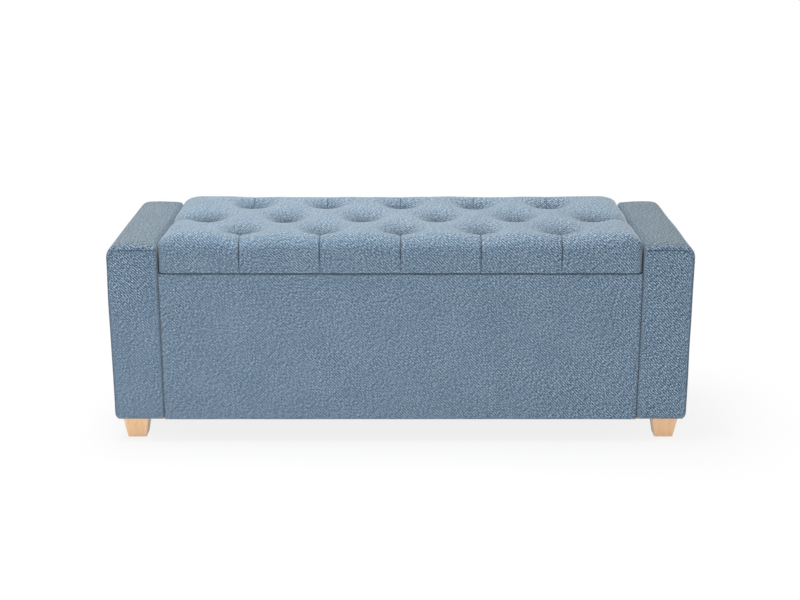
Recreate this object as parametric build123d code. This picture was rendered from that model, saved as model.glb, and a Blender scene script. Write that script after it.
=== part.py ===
from build123d import *
import math
import os

# Storage bench: a hinged tufted seat lid between two padded box arms, over a storage box on four legs.
# Millimetres. The floor is z = 0, the bench runs along X and its front looks along -Y.

# Overall sizes
overall_width = 1270.0
overall_depth = 420.0
arm_height = 454.0
arm_width = 110.0
leg_height = 52.0
lid_line = 390.0
cushion_rise = 24.0

# Boards
arm_board = 12.0
arm_base_board = 18.0
panel_board = 15.0
floor_board = 6.0
seat_board = 15.0

# Soft layers
fabric = 1.5
arm_pad = 5.0
panel_pad = 4.0
lining = 1.0
arm_edge_radius = 5.0
arm_outer_roll = 30.0
arm_inner_roll = 18.0
panel_edge_radius = 5.0

# Seat lid
lid_side_gap = 3.0
lid_rest_gap = 0.5
lid_roll_radius = 38.0
lid_corner_radius = 14.0
tufts_across = 6
tuft_rows_per_depth = 3.2
tuft_rows_forward = 9.0
tuft_depth = 42.0
tuft_radius = 62.0
tuft_floor_radius = 5.0
crease_depth = 8.0
crease_half_width = 56.0
rear_pleat_depth = 3.0
pleat_half_width = 50.0
twine_radius = 1.5
anchor_radius = 8.0
anchor_thickness = 2.5

# Hinges
rear_recess = 6.0
hinge_gap = 3.0
hinge_length = 70.0
hinge_leaf_width = 25.0
hinge_leaf = 1.2
hinge_offset = 3.1
hinge_barrel_radius = 2.75
hinge_pin_radius = 1.5
hinge_end_inset = 192.0
lid_opening_angle = 90.0

# Gas struts, with their pivots measured forward of and below the hinge axis
strut_lid_reach = 44.0
strut_lid_drop = 15.0
strut_frame_reach = 240.0
strut_frame_drop = 90.0
strut_tube_radius = 7.5
strut_wall = 1.0
strut_rod_radius = 3.0
strut_neck_radius = 3.2
strut_eye_radius = 6.0
strut_eye_width = 8.0
strut_stud_radius = 3.0
bracket_plate = 2.0

# Timber inside the storage box
cleat = 25.0
floor_cleat = 20.0
cleat_top_drop = 40.0

# Legs
leg_top = 57.0
leg_bottom = 41.0
leg_setback = 15.0
leg_edge_radius = 2.0
glide_radius = 11.0
glide_height = 4.0

# Fasteners
screw_radius = 1.9
screw_head_radius = 3.8
screw_head = 2.0
screw_length = 12.0
bolt_radius = 3.0
bolt_head_radius = 7.0
bolt_head = 3.0
leg_bolt_radius = 4.0
leg_bolt_depth = 30.0
running_fit = 0.05
seat_fit = 0.02

# Positions that follow from the sizes above
half_width = overall_width / 2
half_depth = overall_depth / 2
arm_inner = half_width - arm_width
rear_face = half_depth - rear_recess
crest = arm_height + cushion_rise
lid_half = arm_inner - lid_side_gap
lid_depth = half_depth + rear_face
lid_middle = (rear_face - half_depth) / 2
board_floor = leg_height + lining
board_inner = arm_inner + fabric
board_outer = half_width - fabric - arm_pad
board_end = half_depth - fabric - arm_pad
board_top = arm_height - fabric - arm_pad
front_board_face = -half_depth + fabric + panel_pad
front_board_back = front_board_face + panel_board
rear_board_back = rear_face - fabric
rear_board_front = rear_board_back - panel_board
front_top = lid_line - lid_rest_gap
rear_top = lid_line - hinge_gap
panel_floor = leg_height + fabric
floor_level = panel_floor + floor_cleat
well_floor = floor_level + floor_board
cleat_top = lid_line - cleat_top_drop
seat_underside = lid_line + lining
seat_top = seat_underside + seat_board
axis_y = rear_face + hinge_offset
axis_z = lid_line - hinge_gap / 2
hinge_station = lid_half - hinge_end_inset
leg_x = half_width - leg_setback - leg_top / 2
leg_y = half_depth - leg_setback - leg_top / 2
tuft_pitch = 2 * lid_half / tufts_across
row_pitch = lid_depth / tuft_rows_per_depth
side_wall = arm_inner - lining
strut_x = side_wall - bracket_plate - strut_tube_radius - 0.5
bolt_levels = (well_floor + 70.0, cleat_top - 40.0)


def block(x, y, z):
    """A rectangular board between two limits on each axis."""
    size = Box(x[1] - x[0], y[1] - y[0], z[1] - z[0])
    return Pos((x[0] + x[1]) / 2, (y[0] + y[1]) / 2, (z[0] + z[1]) / 2) * size


def rod_x(radius, x, y, z):
    """A round bar along X."""
    return Pos((x[0] + x[1]) / 2, y, z) * Rot(0, 90, 0) * Cylinder(radius, x[1] - x[0])


def rod_z(radius, x, y, z):
    """A round bar along Z."""
    return Pos(x, y, (z[0] + z[1]) / 2) * Cylinder(radius, z[1] - z[0])


def rounded_upright(shape, radius):
    """The shape with its vertical edges rounded."""
    return fillet(shape.edges().filter_by(Axis.Z), radius)


def left(shape):
    """The same piece on the left-hand side of the bench."""
    return mirror(shape, about=Plane.YZ)


def solids(shapes):
    """Several equal pieces kept as separate solids of one node."""
    return Compound([solid for shape in shapes for solid in shape.solids()])


def wood_screw(spare=0.0):
    """A countersunk screw that points down, its head flush with z = 0."""
    head = Cone(screw_radius + spare, screw_head_radius + spare, screw_head)
    shank = Cylinder(screw_radius + spare, screw_length)
    return Pos(0, 0, -screw_head / 2) * head + Pos(0, 0, -screw_length / 2) * shank


def arm_section(x, y, top, inner_roll, outer_roll):
    """A block the length of the right arm whose two long upper edges are rolled over."""
    shape = block(x, y, (leg_height, top))
    inner_edge = shape.edges().filter_by(Axis.Y).group_by(Axis.Z)[-1].sort_by(Axis.X)[0]
    shape = fillet(inner_edge, inner_roll)
    edges = shape.edges().filter_by(Axis.Y)
    outer_edge = edges.sort_by(lambda edge: edge.center().X + edge.center().Z)[-1]
    return fillet(outer_edge, outer_roll)


def arm_envelope(inset):
    """The right arm's outline, drawn in by the given amount on every upholstered side."""
    x = (arm_inner + inset, half_width - inset)
    y = (-half_depth + inset, half_depth - inset)
    shape = arm_section(x, y, arm_height - inset, arm_inner_roll - inset, arm_outer_roll - inset)
    rims = []
    for face in shape.faces().filter_by(Axis.Y):
        rims += [edge for edge in face.edges() if edge.center().Z > leg_height + 0.01]
    return fillet(rims, max(arm_edge_radius - inset, 0.5))


def strut_angles():
    """Length and elevation of a gas strut with the lid shut and with it open."""
    turn = math.radians(lid_opening_angle)
    shut = (strut_lid_reach, -strut_lid_drop)
    opened_reach = shut[0] * math.cos(turn) - shut[1] * math.sin(turn)
    opened_rise = shut[0] * math.sin(turn) + shut[1] * math.cos(turn)
    found = []
    for reach, rise in (shut, (opened_reach, opened_rise)):
        back = strut_frame_reach - reach
        up = rise + strut_frame_drop
        found.append((math.hypot(back, up), math.degrees(math.atan2(up, back))))
    return found


def arm_fasteners():
    """Centres of the four bolts that enter the right arm from the storage box."""
    rows = (front_board_back + cleat / 2, rear_board_front - cleat / 2)
    return [(y, z) for y in rows for z in bolt_levels]


def strut_frame_pivot():
    """Where a gas strut turns on the side of the storage box."""
    return axis_y - strut_frame_reach, axis_z - strut_frame_drop


def frame_bracket_screws(spare=0.0):
    """The two screws of the right-hand strut bracket on the box side."""
    y, z = strut_frame_pivot()
    face = side_wall - bracket_plate
    return [Pos(face, y, z + step) * Rot(0, -90, 0) * wood_screw(spare) for step in (-14, 14)]


def lid_bracket_screws(spare=0.0):
    """The two screws of the right-hand strut bracket under the lid."""
    y = axis_y - strut_lid_reach
    level = lid_line - bracket_plate
    return [Pos(strut_x - 3, y + step, level) * Rot(180, 0, 0) * wood_screw(spare) for step in (-12, 12)]


def hinge_screws(on_lid, spare=0.0):
    """The three screws of the right-hand hinge, in the rear panel or in the lid."""
    y = rear_board_back - panel_board / 2
    level = lid_line - hinge_leaf if on_lid else rear_top + hinge_leaf
    turn = Rot(180, 0, 0) if on_lid else Rot(0, 0, 0)
    stations = [hinge_station + step * hinge_length for step in (-0.36, 0, 0.36)]
    return [Pos(x, y, level) * turn * wood_screw(spare) for x in stations]


def build_arm():
    """Boards, padding and cover of the right arm."""
    y = (-board_end, board_end)
    wall_z = (board_floor + arm_base_board, board_top - arm_board)
    inner = block((board_inner, board_inner + arm_board), y, wall_z)
    outer = block((board_outer - arm_board, board_outer), y, wall_z)
    base = block((board_inner, board_outer), y, (board_floor, board_floor + arm_base_board))
    top = block((board_inner, board_outer), y, (board_top - arm_board, board_top))
    gap = (board_inner + arm_board, board_outer - arm_board)
    ends = [block(gap, (-board_end, -board_end + arm_board), wall_z)]
    ends.append(block(gap, (board_end - arm_board, board_end), wall_z))
    lined = arm_envelope(fabric)
    under = arm_pad + fabric
    rolls = (arm_inner_roll - under, arm_outer_roll - under)
    core = arm_section((board_inner, board_outer), y, board_top, *rolls)
    padding = lined - core
    cover = arm_envelope(0) - lined
    sleeves = []
    through = (arm_inner - 5, board_inner + arm_board + 5)
    for bolt_y, bolt_z in arm_fasteners():
        sleeves.append(rod_x(bolt_radius + 1 + seat_fit, through, bolt_y, bolt_z))
    screws = frame_bracket_screws(seat_fit)
    leg_holes = []
    through = (leg_height, board_floor + 40)
    for leg_side in (-leg_y, leg_y):
        leg_holes.append(rod_z(leg_bolt_radius + 1 + seat_fit, leg_x, leg_side, through))
    sheet_y = (-half_depth + 12, half_depth - 12)
    dust = block((arm_inner + 12, half_width - 12), sheet_y, (leg_height, board_floor))
    return {
        "inner_board": inner - sleeves - screws,
        "outer_board": outer & core,
        "base_board": base - leg_holes,
        "top_board": top & core,
        "end_boards": solids(ends),
        "padding": padding,
        "cover": cover - sleeves - screws,
        "dust_cover": dust - leg_holes,
    }


def build_front_panel():
    """Board, padding and cover of the front panel."""
    z = (panel_floor, front_top - fabric)
    board = block((-arm_inner, arm_inner), (front_board_face, front_board_back), z)
    skin = block((-arm_inner, arm_inner), (-half_depth, front_board_back), (leg_height, front_top))
    rim = skin.edges().filter_by(Axis.X).group_by(Axis.Y)[0]
    skin = fillet(rim, panel_edge_radius)
    inside = block((-arm_inner, arm_inner), (-half_depth + fabric, front_board_back), z)
    rim = inside.edges().filter_by(Axis.X).group_by(Axis.Y)[0]
    inside = fillet(rim, max(panel_edge_radius - fabric, 0.5))
    return board, inside - board, skin - inside


def build_rear_panel():
    """Board and cover of the rear panel, which carries the hinges on its top edge."""
    z = (panel_floor, rear_top - fabric)
    board = block((-arm_inner, arm_inner), (rear_board_front, rear_board_back), z)
    skin = block((-arm_inner, arm_inner), (rear_board_front, rear_face), (leg_height, rear_top))
    screws = hinge_screws(False, seat_fit)
    screws = screws + [left(screw) for screw in screws]
    return board - screws, skin - board - screws


def crease(start, end, depth, half):
    """A soft channel with rounded shoulders along a straight line of the seat's crest."""
    lift = 1.0
    drop = depth + lift
    radius = (half * half + drop * drop) / (2 * drop)
    low = math.atan2(radius - drop, -half)
    middle = (low + math.pi / 2) / 2
    x = half + radius * math.cos(middle)
    y = lift - radius + radius * math.sin(middle)
    line = ThreePointArc((-half, lift), (-x, y), (0, -depth))
    line += ThreePointArc((0, -depth), (x, y), (half, lift))
    line += Polyline((half, lift), (half, 80), (-half, 80), (-half, lift))
    run = Vector(end[0] - start[0], end[1] - start[1], 0)
    across = Vector(0, 0, 1).cross(run.normalized())
    frame = Plane(origin=(start[0], start[1], 0), x_dir=across, z_dir=run)
    return extrude(frame * make_face(line), amount=run.length)


def dimple(x, y):
    """The hollow that one tuft draws into the seat's crest."""
    lift = 1.0
    run = tuft_radius - tuft_floor_radius
    drop = tuft_depth + lift
    radius = (run * run + drop * drop) / (2 * drop)
    low = math.atan2(radius - drop, -run)
    middle = (low + math.pi / 2) / 2
    bend = (tuft_radius + radius * math.cos(middle), lift - radius + radius * math.sin(middle))
    line = Polyline((tuft_radius, lift), (tuft_radius, 80), (0, 80), (0, -tuft_depth))
    line += Line((0, -tuft_depth), (tuft_floor_radius, -tuft_depth))
    line += ThreePointArc((tuft_floor_radius, -tuft_depth), bend, (tuft_radius, lift))
    return Pos(x, y, 0) * revolve(Plane.XZ * make_face(line), axis=Axis.Z)


def tuft_rows():
    """Centres of the tufts, row by row from the front."""
    rows = []
    for row in (-1, 0, 1):
        count = tufts_across if row == 0 else tufts_across - 1
        y = lid_middle - tuft_rows_forward + row * row_pitch
        rows.append([((i - (count - 1) / 2) * tuft_pitch, y) for i in range(count)])
    return rows


def tuft_tools():
    """Every channel and dimple of the seat, about a crest at z = 0."""
    front, middle, rear = tuft_rows()
    tools = []
    for row in (front, rear):
        for index, spot in enumerate(row):
            tools.append(crease(spot, middle[index], crease_depth, crease_half_width))
            tools.append(crease(spot, middle[index + 1], crease_depth, crease_half_width))
    for x, y in front:
        tools.append(crease((x, y), (x, -half_depth - 20), crease_depth, pleat_half_width))
    for x, y in rear:
        tools.append(crease((x, y), (x, rear_face + 20), rear_pleat_depth, pleat_half_width))
    for x, y in (middle[0], middle[-1]):
        tools.append(crease((x, y), (math.copysign(lid_half + 20, x), y), crease_depth, pleat_half_width))
    for x, y in front + middle + rear:
        tools.append(dimple(x, y))
    return tools


def rolled_section(reach, centre, inset):
    """The lid's cross-section: upright sides that roll over into a flat crest."""
    top = crest - inset
    radius = lid_roll_radius - inset
    side = reach - inset
    near = radius * (1 - math.sqrt(0.5))
    line = Polyline((centre - side, top - radius), (centre - side, lid_line), (centre + side, lid_line))
    line += Line((centre + side, lid_line), (centre + side, top - radius))
    bend = (centre + side - near, top - near)
    line += ThreePointArc((centre + side, top - radius), bend, (centre + side - radius, top))
    line += Line((centre + side - radius, top), (centre - side + radius, top))
    bend = (centre - side + near, top - near)
    line += ThreePointArc((centre - side + radius, top), bend, (centre - side, top - radius))
    return make_face(line)


def tufted_block(inset, tools):
    """The lid's tufted outline, drawn in by the given amount."""
    across = extrude(Plane.XZ * rolled_section(lid_half, 0, inset), amount=overall_depth, both=True)
    profile = rolled_section(lid_depth / 2, lid_middle, inset)
    along = extrude(Plane.YZ * profile, amount=overall_width, both=True)
    y = (-half_depth + inset, rear_face - inset)
    plan = block((-lid_half + inset, lid_half - inset), y, (lid_line - 1, crest + 1))
    plan = rounded_upright(plan, lid_corner_radius - inset)
    shape = across & along & plan
    return shape - [Pos(0, 0, crest - inset) * tool for tool in tools]


def build_lid():
    """Board, foam, cover, lining and tuft ties of the seat lid."""
    tools = tuft_tools()
    outside = tufted_block(0, tools)
    inside = tufted_block(fabric, tools)
    span = (-lid_half + fabric, lid_half - fabric)
    y = (-half_depth + fabric, rear_face - fabric)
    corner = lid_corner_radius - fabric
    board = rounded_upright(block(span, y, (seat_underside, seat_top)), corner)
    sheet = rounded_upright(block(span, y, (lid_line, seat_underside)), corner)
    below = block((-half_width, half_width), (-half_depth, half_depth), (lid_line - 1, seat_top))
    foam = inside - below
    ties = []
    twine_holes = []
    anchor_holes = []
    for x, tuft_y in [spot for row in tuft_rows() for spot in row]:
        twine_top = crest - fabric - tuft_depth
        disc = rod_z(anchor_radius, x, tuft_y, (seat_underside, seat_underside + anchor_thickness))
        ties.append(rod_z(twine_radius, x, tuft_y, (seat_underside, twine_top)) + disc)
        twine_holes.append(rod_z(twine_radius + 0.5, x, tuft_y, (seat_underside - 1, crest)))
        well = (seat_underside - 1, seat_underside + anchor_thickness + 0.2)
        anchor_holes.append(rod_z(anchor_radius + 0.3, x, tuft_y, well))
    screws = hinge_screws(True, seat_fit) + lid_bracket_screws(seat_fit)
    screws = screws + [left(screw) for screw in screws]
    return {
        "lid_board": board - twine_holes - anchor_holes - screws,
        "lid_foam": foam - twine_holes,
        "lid_cover": outside - inside,
        "lid_lining": sheet - screws,
        "tuft_ties": solids(ties),
    }


def build_hinge():
    """Frame leaf, lid leaf and pin of the right-hand hinge."""
    ends = (hinge_station - hinge_length / 2, hinge_station + hinge_length / 2)
    clear = axis_y - hinge_barrel_radius - 0.35
    inner_edge = axis_y - hinge_leaf_width
    step = hinge_length / 5
    leaves = []
    for on_lid in (False, True):
        z = (lid_line - hinge_leaf, lid_line) if on_lid else (rear_top, rear_top + hinge_leaf)
        leaf = block(ends, (inner_edge, clear), z)
        for knuckle in (1, 3) if on_lid else (0, 2, 4):
            spare = 0.15 if on_lid else 0.0
            x = (ends[0] + knuckle * step + spare, ends[0] + (knuckle + 1) * step - spare)
            leaf += rod_x(hinge_barrel_radius, x, axis_y, axis_z)
            leaf += block(x, (clear - 0.5, axis_y), z)
        fit = running_fit if on_lid else seat_fit
        leaf -= rod_x(hinge_pin_radius + fit, (ends[0] - 1, ends[1] + 1), axis_y, axis_z)
        leaves.append(leaf - hinge_screws(on_lid, seat_fit))
    pin = rod_x(hinge_pin_radius, ends, axis_y, axis_z)
    for side, end in ((-1, ends[0]), (1, ends[1])):
        pin += rod_x(hinge_pin_radius + 0.8, sorted((end, end + side * 1.2)), axis_y, axis_z)
    return leaves[0], leaves[1], pin


def build_strut():
    """Cylinder, rod and the two brackets of the right-hand gas strut, with the lid shut."""
    length, angle = strut_angles()[0]
    frame_y, frame_z = strut_frame_pivot()
    lid_y = axis_y - strut_lid_reach
    lid_z = axis_z - strut_lid_drop
    bore = strut_tube_radius - strut_wall
    tube_start = strut_eye_radius + 2
    tube_end = length - 30
    place = Pos(strut_x, frame_y, frame_z) * Rot(angle, 0, 0)
    eye = (-strut_eye_width / 2, strut_eye_width / 2)

    def bar(radius, start, end):
        return Pos(0, (start + end) / 2, 0) * Rot(90, 0, 0) * Cylinder(radius, end - start)

    cylinder = bar(strut_tube_radius, tube_start, tube_end) - bar(bore, tube_start + 3, tube_end - 8)
    cylinder += rod_x(strut_eye_radius, eye, 0, 0) + bar(strut_neck_radius, 0, tube_start + 1)
    cylinder -= rod_x(strut_stud_radius + running_fit, (-10, 10), 0, 0)
    cylinder -= bar(strut_rod_radius + running_fit, tube_end - 9, tube_end + 1)
    piston = tube_start + 12
    shaft = bar(strut_rod_radius, piston, length) + bar(bore - running_fit, piston, piston + 8)
    shaft += rod_x(strut_eye_radius, eye, length, 0)
    stud_end = side_wall - 4.8 - strut_x
    shaft += rod_x(strut_stud_radius - 0.5, (-strut_eye_width / 2 - 1.5, stud_end), length, 0)

    face = side_wall - bracket_plate
    plate = block((face, side_wall), (frame_y - 10, frame_y + 10), (frame_z - 21, frame_z + 21))
    head = strut_x - strut_eye_width / 2 - 1
    frame_bracket = plate + rod_x(strut_stud_radius, (head, face), frame_y, frame_z)
    frame_bracket += rod_x(strut_stud_radius + 1.2, (head - 1.5, head), frame_y, frame_z)
    y = (lid_y - 19, lid_y + 19)
    lid_bracket = block((strut_x - 12, side_wall - 2.5), y, (lid_line - bracket_plate, lid_line))
    ear = (side_wall - 4.5, side_wall - 2.5)
    lid_bracket += block(ear, (lid_y - 9, lid_y + 9), (lid_z - 9, lid_line - bracket_plate))
    frame_bracket -= frame_bracket_screws(seat_fit)
    lid_bracket -= lid_bracket_screws(seat_fit)
    return place * cylinder, place * shaft, frame_bracket, lid_bracket


def build_box():
    """Floor panel, cleats, liners and the bolts that hold the panels to the arms."""
    y = (front_board_back, rear_board_front)
    nodes = {}
    nodes["floor_panel"] = block((-arm_inner, arm_inner), y, (floor_level, well_floor))
    z = (panel_floor, floor_level)
    runs = ((y[0], y[0] + floor_cleat), (y[1] - floor_cleat, y[1]))
    nodes["floor_cleats"] = solids([block((-arm_inner, arm_inner), run, z) for run in runs])
    clearance = []
    bolts = []
    tee_nuts = []
    for bolt_y, bolt_z in arm_fasteners():
        head_face = arm_inner - cleat
        far = board_inner + arm_board
        bolt = rod_x(bolt_radius, (head_face, far + 4), bolt_y, bolt_z)
        bolts.append(bolt + rod_x(bolt_head_radius, (head_face - bolt_head, head_face), bolt_y, bolt_z))
        nut = rod_x(bolt_radius + 1, (board_inner + 1, far), bolt_y, bolt_z)
        nut += rod_x(bolt_head_radius + 1, (far, far + 1.5), bolt_y, bolt_z)
        tee_nuts.append(nut - rod_x(bolt_radius + seat_fit, (arm_inner, far + 5), bolt_y, bolt_z))
        clearance.append(rod_x(bolt_radius + 0.3, (head_face - 1, arm_inner + 1), bolt_y, bolt_z))
    posts = []
    for run in ((y[0], y[0] + cleat), (y[1] - cleat, y[1])):
        posts.append(block((arm_inner - cleat, arm_inner), run, (well_floor, cleat_top)) - clearance)
    nodes["corner_cleats"] = solids(posts + [left(post) for post in posts])
    nodes["panel_bolts"] = solids(bolts + [left(bolt) for bolt in bolts])
    nodes["panel_tee_nuts"] = solids(tee_nuts + [left(nut) for nut in tee_nuts])
    span = (-arm_inner + cleat, arm_inner - cleat)
    nodes["front_liner"] = block(span, (y[0], y[0] + lining), (well_floor, front_top - 8))
    nodes["rear_liner"] = block(span, (y[1] - lining, y[1]), (well_floor, rear_top - 8))
    run = (y[0] + cleat, y[1] - cleat)
    wall = block((side_wall, arm_inner), run, (well_floor, front_top - 8)) - frame_bracket_screws(seat_fit)
    nodes["side_liners"] = solids([wall, left(wall)])
    return nodes


def build_legs():
    """Legs with their bolts, tee nuts and glides."""
    nodes = {}
    bolts = []
    tee_nuts = []
    glides = []
    base_top = board_floor + arm_base_board
    for end, y in (("front", -leg_y), ("rear", leg_y)):
        for side, x in (("left", -leg_x), ("right", leg_x)):
            low = Pos(x, y, glide_height) * Rectangle(leg_bottom, leg_bottom)
            high = Pos(x, y, leg_height) * Rectangle(leg_top, leg_top)
            leg = loft([low, high], ruled=True)
            uprights = [edge for edge in leg.edges() if abs(edge.tangent_at(0.5).Z) > 0.5]
            leg = fillet(uprights, leg_edge_radius)
            bolt_foot = leg_height - leg_bolt_depth
            leg -= rod_z(leg_bolt_radius + seat_fit, x, y, (bolt_foot, leg_height + 1))
            leg -= rod_z(1.25 + seat_fit, x, y, (glide_height - 1, glide_height + 12))
            nodes[f"{end}_{side}_leg"] = leg
            bolts.append(rod_z(leg_bolt_radius, x, y, (bolt_foot, base_top + 5)))
            nut = rod_z(leg_bolt_radius + 1, x, y, (base_top - 12, base_top))
            nut += rod_z(leg_bolt_radius + 7, x, y, (base_top, base_top + 1.5))
            tee_nuts.append(nut - rod_z(leg_bolt_radius + seat_fit, x, y, (leg_height, base_top + 9)))
            glide = rod_z(glide_radius, x, y, (0, glide_height))
            glide = fillet(glide.edges().group_by(Axis.Z)[0], 2.0)
            glides.append(glide + rod_z(1.25, x, y, (glide_height, glide_height + 12)))
    nodes["leg_bolts"] = solids(bolts)
    nodes["leg_tee_nuts"] = solids(tee_nuts)
    nodes["leg_glides"] = solids(glides)
    return nodes


def build_bench():
    """Every node of the bench by name."""
    nodes = {}
    arm = build_arm()
    for name, shape in arm.items():
        if name == "dust_cover":
            nodes["arm_dust_covers"] = solids([left(shape), shape])
        else:
            nodes["left_arm_" + name] = left(shape)
            nodes["right_arm_" + name] = shape
    board, padding, cover = build_front_panel()
    nodes["front_panel_board"] = board
    nodes["front_panel_padding"] = padding
    nodes["front_panel_cover"] = cover
    nodes["rear_panel_board"], nodes["rear_panel_cover"] = build_rear_panel()
    nodes.update(build_box())
    nodes.update(build_legs())
    nodes.update(build_lid())
    frame_leaf, lid_leaf, pin = build_hinge()
    cylinder, shaft, frame_bracket, lid_bracket = build_strut()
    paired = {
        "hinge_frame_leaf": frame_leaf,
        "hinge_lid_leaf": lid_leaf,
        "hinge_pin": pin,
        "strut_cylinder": cylinder,
        "strut_rod": shaft,
        "strut_frame_bracket": frame_bracket,
        "strut_lid_bracket": lid_bracket,
    }
    for name, shape in paired.items():
        nodes["left_" + name] = left(shape)
        nodes["right_" + name] = shape
    screws = hinge_screws(False) + frame_bracket_screws()
    nodes["frame_screws"] = solids(screws + [left(screw) for screw in screws])
    screws = hinge_screws(True) + lid_bracket_screws()
    nodes["lid_screws"] = solids(screws + [left(screw) for screw in screws])
    return nodes


def main():
    os.makedirs("parts", exist_ok=True)
    for name, shape in build_bench().items():
        export_step(shape, f"parts/{name}.step")


if __name__ == "__main__":
    main()
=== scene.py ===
import math

import bmesh
import bpy
import numpy as np
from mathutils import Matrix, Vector


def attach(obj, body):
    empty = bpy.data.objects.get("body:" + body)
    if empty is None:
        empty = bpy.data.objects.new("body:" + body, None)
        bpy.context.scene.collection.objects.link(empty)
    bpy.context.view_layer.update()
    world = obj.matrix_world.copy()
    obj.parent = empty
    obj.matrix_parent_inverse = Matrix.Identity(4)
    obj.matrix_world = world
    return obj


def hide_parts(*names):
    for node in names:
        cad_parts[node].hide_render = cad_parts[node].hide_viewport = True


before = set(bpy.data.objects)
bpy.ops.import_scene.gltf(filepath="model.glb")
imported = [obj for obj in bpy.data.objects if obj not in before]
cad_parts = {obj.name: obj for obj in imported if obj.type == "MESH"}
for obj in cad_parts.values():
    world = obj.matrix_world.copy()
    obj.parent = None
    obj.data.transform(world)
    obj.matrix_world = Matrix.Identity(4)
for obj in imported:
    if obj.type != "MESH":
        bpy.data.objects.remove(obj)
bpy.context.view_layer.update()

scene = bpy.context.scene
scene.view_settings.view_transform = "Standard"
MM = 0.001

# Sizes of the bench, in metres, as in the part's source
HALF_WIDTH, HALF_DEPTH = 0.635, 0.210
ARM_INNER, ARM_TOP, ARM_FOOT = 0.525, 0.454, 0.0522
LID_HALF, LID_FRONT, LID_REAR = 0.522, -0.210, 0.204
LID_MIDDLE = (LID_FRONT + LID_REAR) / 2
LID_UNDER, LID_CREST, LID_ROLL = 0.3908, 0.478, 0.038
LEG_X, LEG_Y, LEG_FOOT_HALF, LEG_TAPER = 0.5915, 0.1665, 0.0198, 0.1667
TUFT_PITCH, ROW_PITCH = 0.174, 0.129375
MIDDLE_ROW = LID_MIDDLE - 0.009
FRONT_ROW, REAR_ROW = MIDDLE_ROW - ROW_PITCH, MIDDLE_ROW + ROW_PITCH
OUTER_ROWS_X = [TUFT_PITCH * k for k in (-2, -1, 0, 1, 2)]
MIDDLE_ROW_X = [TUFT_PITCH * k for k in (-2.5, -1.5, -0.5, 0.5, 1.5, 2.5)]

# Camera at the photograph's viewing angle
camera = bpy.data.objects.new("camera", bpy.data.cameras.new("camera"))
scene.collection.objects.link(camera)
scene.camera = camera
camera.data.sensor_width = 36.0
camera.data.lens = 64.05
camera.location = (-0.001, -3.168, 1.2133)
LOOK_DOWN = 16.605
camera.rotation_euler = (math.radians(90.0 - LOOK_DOWN), 0.0, 0.0)


# Mesh helpers: points stand close together across a fold, and patches are welded at their edges
FOLD_CLEAR = 4 * MM
FOLD_POINTS = np.array([-2.4, -0.8, 0.8, 2.4]) * MM
FOOT_TURNS = 5
WELD = 2e-6


def axis(low, high, low_roll, high_roll, step, fine=(), rolls=6):
    """Points across a wrapped face: place, drop below the face, and length along the cloth."""
    flat_low, flat_high = low + low_roll[0], high - high_roll[0]
    count = max(2, math.ceil((flat_high - flat_low) / step))
    flat = np.linspace(flat_low, flat_high, count + 1)
    for at in fine:
        flat = flat[np.abs(flat - at) > FOLD_CLEAR]
        flat = np.concatenate([flat, at + FOLD_POINTS])
    flat = np.sort(flat)
    turn = np.linspace(0, math.pi / 2, rolls + 1)[1:]
    place = np.concatenate([
        (flat_low - low_roll[0] * np.sin(turn))[::-1], flat, flat_high + high_roll[0] * np.sin(turn)])
    drop = np.concatenate([
        (low_roll[1] * (1 - np.cos(turn)))[::-1], 0 * flat, high_roll[1] * (1 - np.cos(turn))])
    along = np.concatenate([[0], np.cumsum(np.hypot(np.diff(place), np.diff(drop)))])
    along += flat[0] - along[rolls]
    return place, drop, along


def rounded(x, y, centre, half, low_corner, high_corner):
    """Rounds the plan corners of a rectangle; the radius may differ at low and high x."""
    x, y = x - centre[0], y - centre[1]
    out_x, out_y = x.copy(), y.copy()
    for side, radius in ((-1, low_corner), (1, high_corner)):
        a = (side * x - (half[0] - radius)) / radius
        b = (np.abs(y) - (half[1] - radius)) / radius
        hit = (a > 0) & (b > 0)
        a, b = a[hit], b[hit]
        out_x[hit] = side * (half[0] - radius + radius * a * np.sqrt(1 - b * b / 2))
        out_y[hit] = np.sign(y[hit]) * (half[1] - radius + radius * b * np.sqrt(1 - a * a / 2))
    return out_x + centre[0], out_y + centre[1]


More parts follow.
